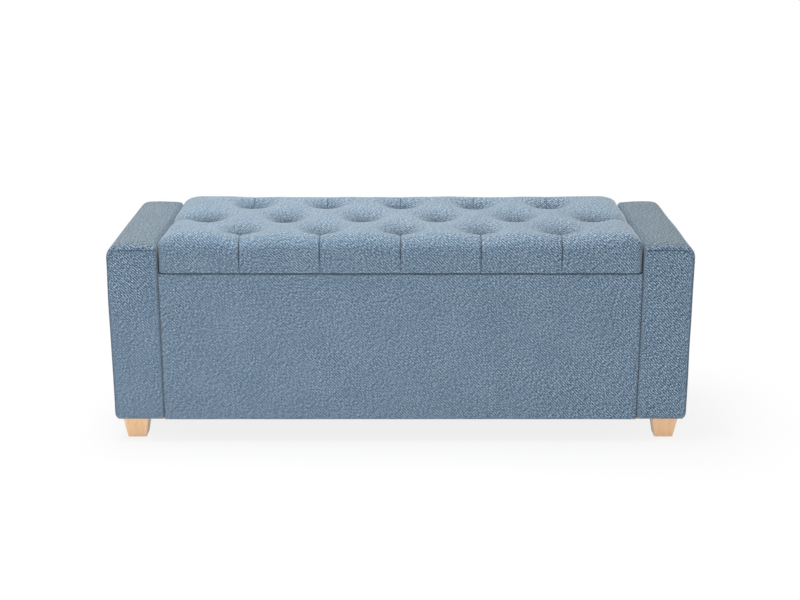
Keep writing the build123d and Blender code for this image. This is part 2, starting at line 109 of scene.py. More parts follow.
def wrapped(x_axis, y_axis, top, bottom, corners, foot, hem, step, sharp=3, close_rows=()):
    """Patches of a cloth shell over a block: the top, four sides, and a hem turned under."""
    (px, dx, ux), (py, dy, uy) = x_axis, y_axis
    centre = ((px[0] + px[-1]) / 2, (py[0] + py[-1]) / 2)
    half = ((px[-1] - px[0]) / 2, (py[-1] - py[0]) / 2)
    x, y = np.meshgrid(px, py)
    z = top - (dx[None, :] ** sharp + dy[:, None] ** sharp) ** (1 / sharp)
    x, y = rounded(x, y, centre, half, *corners)
    u, v = np.meshgrid(ux, uy)
    points = np.stack([x, y, z], axis=2)
    cloth = np.stack([u, v], axis=2)
    patches = [(points, cloth, False)]
    edges = [
        (points[0], cloth[0], (0, -1)),
        (points[:, -1], cloth[:, -1], (1, 0)),
        (points[-1, ::-1], cloth[-1, ::-1], (0, 1)),
        (points[::-1, 0], cloth[::-1, 0], (-1, 0)),
    ]
    foot_run, foot_rise = foot
    turn = np.linspace(0, math.pi / 2, FOOT_TURNS + 1)[1:]
    under = np.linspace(0, hem, max(2, math.ceil(hem / (2 * step))) + 1)[1:] if hem else []
    for edge, edge_cloth, away in edges:
        high = edge[:, 2].max()
        shares = np.linspace(0, 1, max(3, math.ceil((high - bottom - foot_rise) / step)) + 1)[1:]
        if close_rows:
            close = np.array(close_rows) / (high - bottom - foot_rise)
            shares = np.concatenate([close, shares[shares > close[-1] * 1.5]])
        rows, lengths, length = [edge], [np.zeros(len(edge))], np.zeros(len(edge))
        for share in shares:
            row = edge.copy()
            row[:, 2] += share * (bottom + foot_rise - edge[:, 2])
            rows.append(row)
        for t in turn:
            rows.append(inset(edge, centre, half, foot_run * (1 - math.cos(t)),
                              bottom + foot_rise * (1 - math.sin(t))))
        for run in under:
            rows.append(inset(edge, centre, half, foot_run + run, bottom))
        for before, row in zip(rows, rows[1:]):
            length = length + np.linalg.norm(row - before, axis=1)
            lengths.append(length)
        out = np.array(away, float)
        spread = edge_cloth[None] + np.stack(lengths)[:, :, None] * out
        patches.append((np.stack(rows), spread, True))
    return patches


def inset(edge, centre, half, run, level):
    """An edge drawn in towards the centre by run, at one level."""
    row = edge.copy()
    row[:, 0] = centre[0] + (edge[:, 0] - centre[0]) * (1 - run / half[0])
    row[:, 1] = centre[1] + (edge[:, 1] - centre[1]) * (1 - run / half[1])
    row[:, 2] = level
    return row


def patch_mesh(name, patches, place=None):
    """One welded mesh from patches, with the cloth's own lengths in metres as its UVs."""
    verts, cloths, faces, first = [], [], [], 0
    for points, cloth, downward in patches:
        rows, columns = points.shape[:2]
        index = first + np.arange(rows * columns).reshape(rows, columns)
        a, b, c, d = index[:-1, :-1], index[:-1, 1:], index[1:, 1:], index[1:, :-1]
        quads = (a, d, c, b) if downward else (a, b, c, d)
        faces.append(np.stack(quads, axis=2).reshape(-1, 4))
        verts.append(points.reshape(-1, 3))
        cloths.append(cloth.reshape(-1, 2))
        first += rows * columns
    verts, cloths, faces = np.concatenate(verts), np.concatenate(cloths), np.concatenate(faces)
    if place is not None:
        verts = place(verts)
    mesh = bpy.data.meshes.new(name)
    mesh.from_pydata(verts.tolist(), [], faces.tolist())
    layer = mesh.uv_layers.new(name="cloth")
    layer.data.foreach_set("uv", cloths[faces.reshape(-1)].reshape(-1))
    work = bmesh.new()
    work.from_mesh(mesh)
    bmesh.ops.remove_doubles(work, verts=work.verts, dist=WELD)
    work.to_mesh(mesh)
    work.free()
    mesh.polygons.foreach_set("use_smooth", np.ones(len(mesh.polygons), bool))
    mesh.update()
    return mesh


def read(mesh):
    """Places and normals of a mesh's points."""
    points = np.empty(len(mesh.vertices) * 3)
    normals = np.empty(len(mesh.vertices) * 3)
    mesh.vertices.foreach_get("co", points)
    mesh.vertex_normals.foreach_get("vector", normals)
    return points.reshape(-1, 3), normals.reshape(-1, 3)


def write(mesh, points):
    mesh.vertices.foreach_set("co", points.reshape(-1))
    mesh.update()


def keep(mesh, name, values):
    """Stores a number or a vector at each point."""
    kind = "FLOAT_VECTOR" if values.ndim == 2 else "FLOAT"
    layer = mesh.attributes.get(name) or mesh.attributes.new(name, kind, "POINT")
    layer.data.foreach_set("vector" if values.ndim == 2 else "value", values.reshape(-1))


def kept(mesh, name):
    """Vectors stored at the points."""
    values = np.empty(len(mesh.vertices) * 3)
    mesh.attributes[name].data.foreach_get("vector", values)
    return values.reshape(-1, 3)


def subdivided(obj):
    """Bakes one smooth subdivision into the piece."""
    modifier = obj.modifiers.new("smooth", "SUBSURF")
    modifier.levels = modifier.render_levels = 1
    modifier.boundary_smooth = "PRESERVE_CORNERS"
    graph = bpy.context.evaluated_depsgraph_get()
    mesh = bpy.data.meshes.new_from_object(obj.evaluated_get(graph))
    old = obj.data
    obj.modifiers.remove(modifier)
    obj.data = mesh
    mesh.name = old.name
    bpy.data.meshes.remove(old)
    return mesh


def piece(name, mesh, body, material, slot, *nodes):
    """A visible piece on its body, in place of the nodes that it stands for."""
    obj = bpy.data.objects.new(name, mesh)
    scene.collection.objects.link(obj)
    mesh.materials.clear()
    mesh.materials.append(material)
    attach(obj, body)
    if nodes:
        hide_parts(*nodes)
    return obj


def ripple(points, length, size, seed, waves=7):
    """Smooth unevenness of about size, from a few seeded waves."""
    chance = np.random.default_rng(seed)
    total = np.zeros(len(points))
    for _ in range(waves):
        way = chance.normal(size=3)
        way *= 2 * math.pi / (length * chance.uniform(0.7, 1.6)) / np.linalg.norm(way)
        total += np.sin(points @ way + chance.uniform(0, 2 * math.pi))
    return size * total / math.sqrt(waves)


def groove(distance, half_width):
    """One on a line, falling off smoothly to both sides."""
    return np.exp(-(distance / half_width) ** 2)


def settle(obj, pins, pressure, frames, cap):
    """Lets the filling swell the cloth, with the pinned points held, and keeps the result."""
    start, _ = read(obj.data)
    group = obj.vertex_groups.new(name="pins")
    for weight in sorted(set(np.round(pins, 1).tolist())):
        if weight > 0:
            members = np.flatnonzero(np.round(pins, 1) == weight).tolist()
            group.add(members, weight, "REPLACE")
    modifier = obj.modifiers.new("swell", "CLOTH")
    cloth = modifier.settings
    cloth.quality = 6
    cloth.mass = 0.25
    cloth.tension_stiffness = cloth.compression_stiffness = 18
    cloth.shear_stiffness = 8
    cloth.bending_stiffness = 1.5
    cloth.use_pressure = True
    cloth.uniform_pressure_force = pressure
    cloth.vertex_group_mass = group.name
    cloth.effector_weights.gravity = 0
    modifier.collision_settings.use_collision = False
    modifier.collision_settings.use_self_collision = False
    modifier.point_cache.frame_start = 1
    modifier.point_cache.frame_end = frames
    for number in range(1, frames + 1):
        scene.frame_set(number)
    graph = bpy.context.evaluated_depsgraph_get()
    swollen = obj.evaluated_get(graph).to_mesh()
    points = np.empty(len(swollen.vertices) * 3)
    swollen.vertices.foreach_get("co", points)
    obj.evaluated_get(graph).to_mesh_clear()
    move = points.reshape(-1, 3) - start
    size = np.linalg.norm(move, axis=1)
    move *= (np.minimum(size, cap) / np.maximum(size, 1e-9))[:, None]
    obj.modifiers.remove(modifier)
    obj.vertex_groups.remove(group)
    scene.frame_set(1)
    write(obj.data, start + move)


# Node helpers
SCALE_SOCKET = 3
MIX_SHARE, MIX_A, MIX_B, MIX_RESULT = 0, 6, 7, 2


def new_material(name):
    """A material and its emptied node tree."""
    material = bpy.data.materials.new(name)
    material.use_nodes = True
    material.node_tree.nodes.clear()
    return material, material.node_tree


def node(tree, kind, inputs=None, **settings):
    made = tree.nodes.new(kind)
    for name, value in settings.items():
        setattr(made, name, value)
    for name, value in (inputs or {}).items():
        socket = made.inputs[name]
        if isinstance(value, bpy.types.NodeSocket):
            tree.links.new(value, socket)
        else:
            socket.default_value = value
    return made


def maths(tree, operation, *values):
    return node(tree, "ShaderNodeMath", dict(enumerate(values)), operation=operation).outputs[0]


def vectors(tree, operation, first, second):
    """Vector maths; a scale takes its factor on a socket of its own."""
    place = SCALE_SOCKET if operation == "SCALE" else 1
    return node(tree, "ShaderNodeVectorMath", {0: first, place: second}, operation=operation).outputs[0]


def cloth_spot(tree):
    """Place on the cloth in millimetres."""
    return vectors(tree, "SCALE", node(tree, "ShaderNodeUVMap", uv_map="cloth").outputs[0], 1000.0)


def object_spot(tree):
    """Place on the piece in metres."""
    return node(tree, "ShaderNodeTexCoord").outputs["Object"]


def noise(tree, vector, scale, detail=2.0, roughness=0.5):
    made = node(tree, "ShaderNodeTexNoise",
                {"Vector": vector, "Scale": scale, "Detail": detail, "Roughness": roughness})
    return made.outputs["Fac"]


def ramp(tree, value, stops):
    made = node(tree, "ShaderNodeValToRGB", {"Fac": value})
    elements = made.color_ramp.elements
    while len(elements) < len(stops):
        elements.new(0.5)
    for element, (at, colour) in zip(elements, stops):
        element.position = at
        element.color = (*colour, 1.0)
    return made.outputs["Color"]


def mixed(tree, share, a, b, blend="MIX"):
    made = node(tree, "ShaderNodeMix", data_type="RGBA", blend_type=blend)
    for place, value in ((MIX_SHARE, share), (MIX_A, a), (MIX_B, b)):
        socket = made.inputs[place]
        if isinstance(value, bpy.types.NodeSocket):
            tree.links.new(value, socket)
        else:
            socket.default_value = value if isinstance(value, float) else (*value, 1.0)
    return made.outputs[MIX_RESULT]


def combined(tree, *values):
    return node(tree, "ShaderNodeCombineXYZ", dict(enumerate(values))).outputs[0]


def spanned(tree, value, low, high, to_low, to_high):
    made = node(tree, "ShaderNodeMapRange", {
        "Value": value, "From Min": low, "From Max": high, "To Min": to_low, "To Max": to_high})
    return made.outputs[0]


def finish_shader(tree, colour, roughness, height=None, distance=0.0, strength=1.0, **sockets):
    shader = node(tree, "ShaderNodeBsdfPrincipled", {"Base Color": colour, "Roughness": roughness})
    for name, value in sockets.items():
        shader.inputs[name.replace("_", " ")].default_value = value
    if height is not None:
        bump = node(tree, "ShaderNodeBump", {
            "Height": height, "Distance": distance, "Strength": strength})
        tree.links.new(bump.outputs["Normal"], shader.inputs["Normal"])
    output = node(tree, "ShaderNodeOutputMaterial")
    tree.links.new(shader.outputs[0], output.inputs["Surface"])


# Materials; lengths of the weave are in millimetres of cloth, and its shares are of the colour ramp
DIAGONAL = 0.7071
BEND = 1.8
STROKE_WIDE, STROKE_LONG = 2.3, 4.8
SLUB_LONG, SLUB_WIDE = 7.0, 2.6
TWILL_PITCH, TWILL_DRIFT, YARN_PITCH = 4.6, 4.0, 2.2
STROKE_SHARE, SLUB_SHARE, GRAIN_SHARE, BROAD_SHARE, TWILL_SHARE = 1.10, 0.30, 0.36, 0.10, 0.18
YARN_RELIEF, TWILL_RELIEF = 0.15, 0.12
# Near-black colour of the painted shade in folds, bowls, seams and gaps
FOLD_SHADE_COLOUR = (0.020, 0.032, 0.048)
LATTICE_PITCH = 1.5


def woven_fabric(name, sheen, top_shade_tone):
    """Blue melange weave: pale and dark yarns in short diagonal strokes, with painted shade that greys
    and darkens it where it lies level.
    """
    material, tree = new_material(name)
    flat = cloth_spot(tree)
    bend = node(tree, "ShaderNodeTexNoise", {"Vector": flat, "Scale": 0.045, "Detail": 1.0})
    shift = vectors(tree, "SUBTRACT", bend.outputs["Color"], (0.5, 0.5, 0.5))
    shift = vectors(tree, "SCALE", shift, BEND)
    bent = vectors(tree, "ADD", flat, shift)
    apart = node(tree, "ShaderNodeSeparateXYZ", {0: bent})
    u, v = apart.outputs[0], apart.outputs[1]
    across = maths(tree, "MULTIPLY", maths(tree, "ADD", u, v), DIAGONAL)
    beside = maths(tree, "MULTIPLY", maths(tree, "SUBTRACT", u, v), DIAGONAL)
    drift = noise(tree, flat, 0.06, 2.0)
    strokes = noise(tree, combined(tree, maths(tree, "DIVIDE", across, STROKE_WIDE),
                                   maths(tree, "DIVIDE", beside, STROKE_LONG), 0.0), 1.0, 0.0)
    slubs = noise(tree, combined(tree, maths(tree, "DIVIDE", u, SLUB_LONG),
                                 maths(tree, "DIVIDE", v, SLUB_WIDE), 3.0), 1.0, 0.0)
    grain = noise(tree, bent, 0.40, 0.0)
    broad = noise(tree, flat, 0.012, 2.0)
    wave = maths(tree, "MULTIPLY", across, 2 * math.pi / TWILL_PITCH)
    wave = maths(tree, "MULTIPLY_ADD", drift, TWILL_DRIFT, wave)
    twill = maths(tree, "SINE", wave)
    value = maths(tree, "MULTIPLY_ADD", strokes, STROKE_SHARE, -STROKE_SHARE / 2)
    for part, share in ((slubs, SLUB_SHARE), (grain, GRAIN_SHARE), (broad, BROAD_SHARE)):
        value = maths(tree, "ADD", value, maths(tree, "MULTIPLY_ADD", part, share, -share / 2))
    value = maths(tree, "ADD", value, maths(tree, "MULTIPLY", twill, TWILL_SHARE))
    value = maths(tree, "ADD", value, 0.5)
    colour = ramp(tree, value, [
        (0.14, (0.036, 0.066, 0.105)), (0.40, (0.092, 0.151, 0.222)),
        (0.60, (0.187, 0.277, 0.374)), (0.90, (0.440, 0.545, 0.640))])
    # Painted shade: level faces are multiplied by top_shade_tone, greyer and darker, for how the light
    # falls on the tops
    normal = node(tree, "ShaderNodeNewGeometry").outputs["Normal"]
    level = node(tree, "ShaderNodeSeparateXYZ", {0: normal}).outputs[2]
    level = spanned(tree, level, 0.55, 0.95, 0.0, 1.0)
    colour = mixed(tree, level, colour, mixed(tree, 1.0, colour, top_shade_tone, "MULTIPLY"))
    # Painted shade: the fold attribute darkens the cloth towards FOLD_SHADE_COLOUR in creases, pleats,
    # seams, tuft bowls and where parts meet
    fold = node(tree, "ShaderNodeAttribute", attribute_name="fold").outputs["Fac"]
    colour = mixed(tree, fold, colour, FOLD_SHADE_COLOUR)
    yarn_u = maths(tree, "SINE", maths(tree, "MULTIPLY", u, 2 * math.pi / YARN_PITCH))
    yarn_v = maths(tree, "SINE", maths(tree, "MULTIPLY", v, 2 * math.pi / YARN_PITCH))
    yarn = maths(tree, "MULTIPLY_ADD", maths(tree, "MULTIPLY", yarn_u, yarn_v), YARN_RELIEF, value)
    yarn = maths(tree, "ADD", yarn, maths(tree, "MULTIPLY", twill, TWILL_RELIEF))
    rough = spanned(tree, value, 0.2, 0.8, 0.98, 0.86)
    finish_shader(tree, colour, rough, yarn, 0.0006, 0.35, Sheen_Weight=sheen, Sheen_Roughness=0.45,
                  Sheen_Tint=(1.0, 0.99, 0.97, 1.0), Specular_IOR_Level=0.22)
    return material


def nonwoven_lining():
    """Black spun lining with a small embossed lattice."""
    material, tree = new_material("nonwoven_lining")
    flat = cloth_spot(tree)
    apart = node(tree, "ShaderNodeSeparateXYZ", {0: flat})
    u, v = apart.outputs[0], apart.outputs[1]
    turn = math.pi / LATTICE_PITCH
    wave_u = maths(tree, "SINE", maths(tree, "MULTIPLY", maths(tree, "ADD", u, v), turn))
    wave_v = maths(tree, "SINE", maths(tree, "MULTIPLY", maths(tree, "SUBTRACT", u, v), turn))
    dots = spanned(tree, maths(tree, "MULTIPLY", wave_u, wave_v), 0.25, 0.8, 0.0, 1.0)
    fibres = noise(tree, flat, 1.6, 4.0, 0.7)
    cloudy = noise(tree, flat, 0.03, 3.0)
    tone = maths(tree, "MULTIPLY_ADD", fibres, 0.5, maths(tree, "MULTIPLY", cloudy, 0.5))
    colour = ramp(tree, tone, [
        (0.30, (0.010, 0.010, 0.011)), (0.55, (0.024, 0.024, 0.026)), (0.80, (0.050, 0.050, 0.054))])
    colour = mixed(tree, maths(tree, "MULTIPLY", dots, 0.5), colour, (0.008, 0.008, 0.009))
    height = maths(tree, "SUBTRACT", maths(tree, "MULTIPLY", fibres, 0.5), dots)
    rough = maths(tree, "SUBTRACT", 0.82, maths(tree, "MULTIPLY", dots, 0.25))
    finish_shader(tree, colour, rough, height, 0.0003, 0.6, Sheen_Weight=0.12)
    return material


def leg_wood():
    """Pale satin wood with long grain, paler along the worn edges."""
    material, tree = new_material("leg_wood")
    spot = object_spot(tree)
    apart = node(tree, "ShaderNodeSeparateXYZ", {0: spot})
    x, y, z = apart.outputs[0], apart.outputs[1], apart.outputs[2]
    long = combined(tree, maths(tree, "MULTIPLY", x, 150.0), maths(tree, "MULTIPLY", y, 150.0),
                    maths(tree, "MULTIPLY", z, 16.0))
    broad = noise(tree, long, 0.55, 3.0)
    lines = noise(tree, long, 3.4, 3.0, 0.65)
    pores = noise(tree, combined(tree, maths(tree, "MULTIPLY", x, 1600.0),
                                 maths(tree, "MULTIPLY", y, 1600.0),
                                 maths(tree, "MULTIPLY", z, 120.0)), 1.0, 2.0)
    tone = maths(tree, "ADD", maths(tree, "MULTIPLY", broad, 0.6), maths(tree, "MULTIPLY", lines, 0.4))
    colour = ramp(tree, tone, [
        (0.30, (0.820, 0.470, 0.245)), (0.47, (0.930, 0.585, 0.330)), (0.68, (0.975, 0.670, 0.415))])
    pits = spanned(tree, pores, 0.30, 0.40, 0.35, 0.0)
    colour = mixed(tree, pits, colour, (0.420, 0.190, 0.080))
    half = maths(tree, "MULTIPLY_ADD", z, LEG_TAPER, LEG_FOOT_HALF)
    off_x = maths(tree, "ABSOLUTE", maths(tree, "SUBTRACT", maths(tree, "ABSOLUTE", x), LEG_X))
    off_y = maths(tree, "ABSOLUTE", maths(tree, "SUBTRACT", maths(tree, "ABSOLUTE", y), LEG_Y))
    edge = maths(tree, "DIVIDE", maths(tree, "MINIMUM", off_x, off_y), half)
    edge = maths(tree, "ADD", edge, maths(tree, "MULTIPLY_ADD", lines, 0.16, -0.08))
    worn = spanned(tree, edge, 0.86, 0.98, 0.0, 0.55)
    colour = mixed(tree, worn, colour, (0.930, 0.690, 0.470))
    rough = maths(tree, "MULTIPLY_ADD", lines, 0.25, 0.32)
    finish_shader(tree, colour, rough, maths(tree, "SUBTRACT", lines, pits), 0.0002, 0.5,
                  Coat_Weight=0.12, Coat_Roughness=0.35)
    return material


def sawn_board(name, dark, mid, pale, stretch):
    """Raw sheet board or sawn timber, with fibres along one way."""
    material, tree = new_material(name)
    spot = object_spot(tree)
    long = vectors(tree, "MULTIPLY", spot, stretch)
    fibres = noise(tree, long, 1.0, 4.0, 0.6)
    broad = noise(tree, long, 0.12, 2.0)
    specks = noise(tree, spot, 700.0, 2.0)
    tone = maths(tree, "ADD", maths(tree, "MULTIPLY", fibres, 0.5), maths(tree, "MULTIPLY", broad, 0.3))
    tone = maths(tree, "ADD", tone, maths(tree, "MULTIPLY", specks, 0.2))
    colour = ramp(tree, tone, [(0.34, dark), (0.50, mid), (0.66, pale)])
    rough = maths(tree, "MULTIPLY_ADD", fibres, 0.2, 0.68)
    finish_shader(tree, colour, rough, tone, 0.0004, 0.5)
    return material


def plated_metal(name, base, worn, roughness, metallic):
    """Metal with fine brushing, small smudges and rubbed spots."""
    material, tree = new_material(name)
    spot = object_spot(tree)
    brush = noise(tree, vectors(tree, "MULTIPLY", spot, (400.0, 400.0, 5000.0)), 1.0, 2.0)
    smudge = noise(tree, spot, 90.0, 3.0)
    rubbed = spanned(tree, noise(tree, spot, 260.0, 4.0, 0.7), 0.60, 0.72, 0.0, 0.7)
    colour = mixed(tree, rubbed, base, worn)
    rough = maths(tree, "ADD", maths(tree, "MULTIPLY_ADD", smudge, 0.25, roughness - 0.12),
                  maths(tree, "MULTIPLY", brush, 0.08))
    finish_shader(tree, colour, rough, brush, 0.00008, 0.4, Metallic=metallic)
    return material


def moulded_plastic():
    """Dark matt plastic with a little dust."""
    material, tree = new_material("moulded_plastic")
    spot = object_spot(tree)
    grain = noise(tree, spot, 1800.0, 3.0)
    dust = noise(tree, spot, 120.0, 4.0, 0.7)
    colour = ramp(tree, dust, [
        (0.35, (0.014, 0.011, 0.010)), (0.55, (0.026, 0.021, 0.019)), (0.80, (0.075, 0.066, 0.060))])
    rough = maths(tree, "MULTIPLY_ADD", dust, 0.25, 0.40)
    finish_shader(tree, colour, rough, grain, 0.0002, 0.5)
    return material


def spun_twine():
    """Pale twine with the slant of its plies."""
    material, tree = new_material("spun_twine")
    spot = object_spot(tree)
    apart = node(tree, "ShaderNodeSeparateXYZ", {0: spot})
    slant = maths(tree, "ADD", apart.outputs[0], apart.outputs[1])
    slant = maths(tree, "ADD", apart.outputs[2], slant)
    ply = maths(tree, "SINE", maths(tree, "MULTIPLY", slant, 2600.0))
    fuzz = noise(tree, spot, 2500.0, 3.0)
    tone = maths(tree, "MULTIPLY_ADD", ply, 0.2, fuzz)
    colour = ramp(tree, tone, [
        (0.25, (0.480, 0.440, 0.350)), (0.55, (0.690, 0.660, 0.570)), (0.80, (0.820, 0.800, 0.730))])
    finish_shader(tree, colour, maths(tree, "MULTIPLY_ADD", fuzz, 0.1, 0.85), tone, 0.0004, 0.7)
    return material


# Both copies carry painted shade on their level tops; the arms' crosswise copy has less sheen and much
# darker painted shade there
FABRIC = woven_fabric("woven_fabric", 0.40, (0.97, 0.93, 0.88))
CROSS_FABRIC_SHADED_TOPS = woven_fabric("woven_fabric_crosswise_shaded_tops", 0.20, (0.74, 0.68, 0.61))
LINING = nonwoven_lining()
LEG = leg_wood()
BOARD = sawn_board("raw_board", (0.33, 0.22, 0.12), (0.46, 0.33, 0.20), (0.58, 0.44, 0.29),
                   (260.0, 260.0, 260.0))
TIMBER = sawn_board("sawn_timber", (0.52, 0.34, 0.17), (0.66, 0.47, 0.28), (0.76, 0.58, 0.38),
                    (420.0, 420.0, 30.0))
PLATED = plated_metal("plated_steel", (0.40, 0.40, 0.40), (0.56, 0.56, 0.55), 0.36, 1.0)
POLISHED = plated_metal("polished_rod", (0.46, 0.46, 0.47), (0.60, 0.60, 0.60), 0.22, 1.0)
BLACKED = plated_metal("black_paint", (0.020, 0.020, 0.021), (0.060, 0.060, 0.062), 0.40, 0.0)
PLASTIC = moulded_plastic()
TWINE = spun_twine()

FINISHES = {
    "board": BOARD, "timber": TIMBER, "leg_wood": LEG, "lining": LINING, "glide_plastic": PLASTIC,
    "twine": TWINE, "strut_black": BLACKED, "steel": PLATED, "upholstery_fabric": FABRIC, "foam": BOARD,
}
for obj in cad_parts.values():
    for place in obj.material_slots:
        found = [key for key in FINISHES if place.material and place.material.name.startswith(key)]
        place.material = FINISHES[found[0]] if found else BOARD
for side in ("left", "right"):
    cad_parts[f"{side}_strut_rod"].material_slots[0].material = POLISHED


# Lid cushion
def arc_depth(distance, depth, reach):
    """A hollow whose wall is an arc that starts level at reach and is depth deep at zero."""
    radius = (reach * reach + depth * depth) / (2 * depth)
    inside = np.clip(reach - distance, 0, reach)
    return radius - np.sqrt(np.maximum(radius * radius - inside * inside, 0))


def to_line(points, start, end):
    """Distance from a line between two plan points, and how far along it."""
    way = np.array(end) - np.array(start)
    length = np.linalg.norm(way)
    way = way / length
    along = np.clip((points[:, :2] - start) @ way, 0, length)
    near = np.array(start) + along[:, None] * way
    return np.linalg.norm(points[:, :2] - near, axis=1), along, length


TUFTS = ([(x, FRONT_ROW) for x in OUTER_ROWS_X] + [(x, MIDDLE_ROW) for x in MIDDLE_ROW_X]
         + [(x, REAR_ROW) for x in OUTER_ROWS_X])
DIAGONALS = [((x, row), (x + side * TUFT_PITCH / 2, MIDDLE_ROW))
             for row in (FRONT_ROW, REAR_ROW) for x in OUTER_ROWS_X for side in (-1, 1)]
# Pleats run on past the cushion's edges
PAST_X, PAST_Y = 0.62, 0.30
PLEATS = ([((x, FRONT_ROW), (x, -PAST_Y)) for x in OUTER_ROWS_X]
          + [((x, REAR_ROW), (x, PAST_Y)) for x in OUTER_ROWS_X]
          + [((side * MIDDLE_ROW_X[-1], MIDDLE_ROW), (side * PAST_X, MIDDLE_ROW)) for side in (-1, 1)])
SIDE_PLEATS = PLEATS[-2:]

# How far the bowls of each row reach: broad to the front and rear, close to the front and rear
TUFT_FORMS = {
    FRONT_ROW: (0.075, ROW_PITCH, 0.052, 0.082),
    MIDDLE_ROW: (ROW_PITCH, ROW_PITCH, 0.066, 0.080),
    REAR_ROW: (ROW_PITCH, 0.070, 0.066, 0.062),
}
BROAD_DEPTH, BROAD_HALF, BROAD_CURVE = 0.015, 0.092, 1.25
CLOSE_DEPTH, CLOSE_HALF, CLOSE_FRONT_HALF, CLOSE_CURVE = 0.027, 0.098, 0.078, 2.4
CLOSE_BLEND = 0.025
SCALLOP_DEPTH, SCALLOP_RUN, SCALLOP_CURVE = 0.0075, 0.03, 1.6
SIDE_PLEAT_DEPTH, SIDE_PLEAT_REACH = 0.0160, 0.065
# Broad hollows join by this power, so that they don't add up where they overlap
JOIN = 4
# The hollows, without the folds that meet in them, stop above the ends of the twines
DEEPEST = 0.0415
# Painted shade in the tuft bowls: it grows with the hollow's depth, with a darker core at the bottom
BOWL_SHADE, CORE_SHADE, SHADE_START, SHADE_RUN = 0.66, 0.26, 0.006, 0.024

# Fold lines and wrinkles of the lid: depths, half-widths, and the painted shade in them
DIAGONAL_DEPTH, DIAGONAL_HALF = 1.7 * MM, 2.8 * MM
DIAGONAL_DARK, DIAGONAL_DARK_HALF = 0.42, 1.9 * MM
PLEAT_DEPTH, PLEAT_HALF = 2.4 * MM, 1.3 * MM
PLEAT_DIP, PLEAT_DIP_HALF = 0.7 * MM, 7 * MM
PLEAT_DARK, SIDE_PLEAT_DARK, PLEAT_DARK_HALF = 0.90, 0.5, 1.35 * MM
REAR_PLEAT_SHARE = 0.35
SPOKE_DEPTH, SPOKE_RING, SPOKE_SPREAD = 0.25 * MM, 0.019, 0.010
TUFT_DARK, TUFT_DARK_HALF = 0.6, 5 * MM

# Swelling of the lid's cloth: what is held, how hard the filling presses and how far cloth may move
HELD_TUFT, HELD_SKIRT = 12 * MM, 0.022
SWELL_PRESSURE, SWELL_FRAMES = 3.5, 20
SWELL_SIDES, SWELL_TOP = 0.0012, 0.0048


def lid_hollows(base, normals):
    """How deep the tufts and side pleats draw the cloth in, at points of the plain cushion."""
    chance = np.random.default_rng(11)
    broad, close = np.zeros(len(base)), np.zeros(len(base))
    for x, row in TUFTS:
        size = chance.uniform(0.96, 1.04)
        depth = chance.uniform(0.94, 1.0)
        off_x, off_y = (base[:, 0] - x) / size, (base[:, 1] - row) / size
        broad_front, broad_rear, close_front, close_rear = TUFT_FORMS[row]
        near = np.hypot(off_x / BROAD_HALF, off_y / np.where(off_y < 0, broad_front, broad_rear))
        broad += (depth * BROAD_DEPTH * np.clip(1 - near, 0, 1) ** BROAD_CURVE) ** JOIN
        share = np.clip((off_y + CLOSE_BLEND) / (2 * CLOSE_BLEND), 0, 1)
        half = CLOSE_FRONT_HALF + (CLOSE_HALF - CLOSE_FRONT_HALF) * share * share * (3 - 2 * share)
        near = np.hypot(off_x / half, off_y / np.where(off_y < 0, close_front, close_rear))
        close += depth * CLOSE_DEPTH * np.clip(1 - near, 0, 1) ** CLOSE_CURVE
    lead = np.clip((FRONT_ROW - base[:, 1]) / SCALLOP_RUN, 0, 1)
    for x in OUTER_ROWS_X:
        arch = np.clip(1 - np.abs(base[:, 0] - x) / BROAD_HALF, 0, 1)
        broad += (SCALLOP_DEPTH * lead * arch ** SCALLOP_CURVE) ** JOIN
    for start, end in SIDE_PLEATS:
        away, _, _ = to_line(base, start, end)
        broad += arc_depth(away, SIDE_PLEAT_DEPTH, SIDE_PLEAT_REACH) ** JOIN
    depth = (broad ** (1 / JOIN) + close) * np.clip(normals[:, 2], 0, 1) ** 0.8
    return np.minimum(depth, DEEPEST)


def lid_folds(base, normals):
    """Narrow fold lines and the wrinkles at the tufts: how deep they are, and how much painted shade
    darkens them.
    """
    chance = np.random.default_rng(23)
    deep, dark = np.zeros(len(base)), np.zeros(len(base))
    facing = np.clip(normals[:, 2], 0, 1)
    facing_down = np.clip(normals[:, 2], -1, 0)
    for start, end in DIAGONALS:
        away, along, length = to_line(base, start, end)
        near = np.minimum(along, length - along)
        strength = chance.uniform(0.5, 1.0) * np.clip(1.25 - near / 0.07, 0.25, 1) * facing
        deep += DIAGONAL_DEPTH * strength * groove(away, DIAGONAL_HALF)
        # Painted shade along the diagonal creases
        dark = np.maximum(dark, DIAGONAL_DARK * strength * groove(away, DIAGONAL_DARK_HALF))
    for start, end in PLEATS:
        away, along, _ = to_line(base, start, end)
        strength = np.clip((along - 0.006) / 0.015, 0, 1)
        low = np.clip((base[:, 2] - LID_UNDER - 0.004) / 0.030, 0, 1)
        rear = np.where(base[:, 1] > REAR_ROW, REAR_PLEAT_SHARE, 1.0)
        drawn = PLEAT_DEPTH * groove(away, PLEAT_HALF) + PLEAT_DIP * groove(away, PLEAT_DIP_HALF)
        deep += rear * strength * low * drawn
        # Painted shade along the pleat lines, most where they face down
        sides = np.where(np.abs(base[:, 0]) > MIDDLE_ROW_X[-1], SIDE_PLEAT_DARK, PLEAT_DARK)
        seen = strength * np.maximum(low, 0.7) * np.clip((facing_down + 0.3) / 0.3, 0, 1)
        dark = np.maximum(dark, sides * seen * groove(away, PLEAT_DARK_HALF))
    for tuft in TUFTS:
        offset = base[:, :2] - tuft
        away = np.linalg.norm(offset, axis=1)
        turn = np.arctan2(offset[:, 1], offset[:, 0])
        spokes = np.zeros(len(base))
        for number in (5, 8, 11):
            spokes += np.sin(number * turn + chance.uniform(0, 2 * math.pi)) / 2
        deep += SPOKE_DEPTH * spokes * groove(away - SPOKE_RING, SPOKE_SPREAD)
        # Painted shade at each tuft's point
        dark = np.maximum(dark, TUFT_DARK * groove(away, TUFT_DARK_HALF))
    return deep, dark


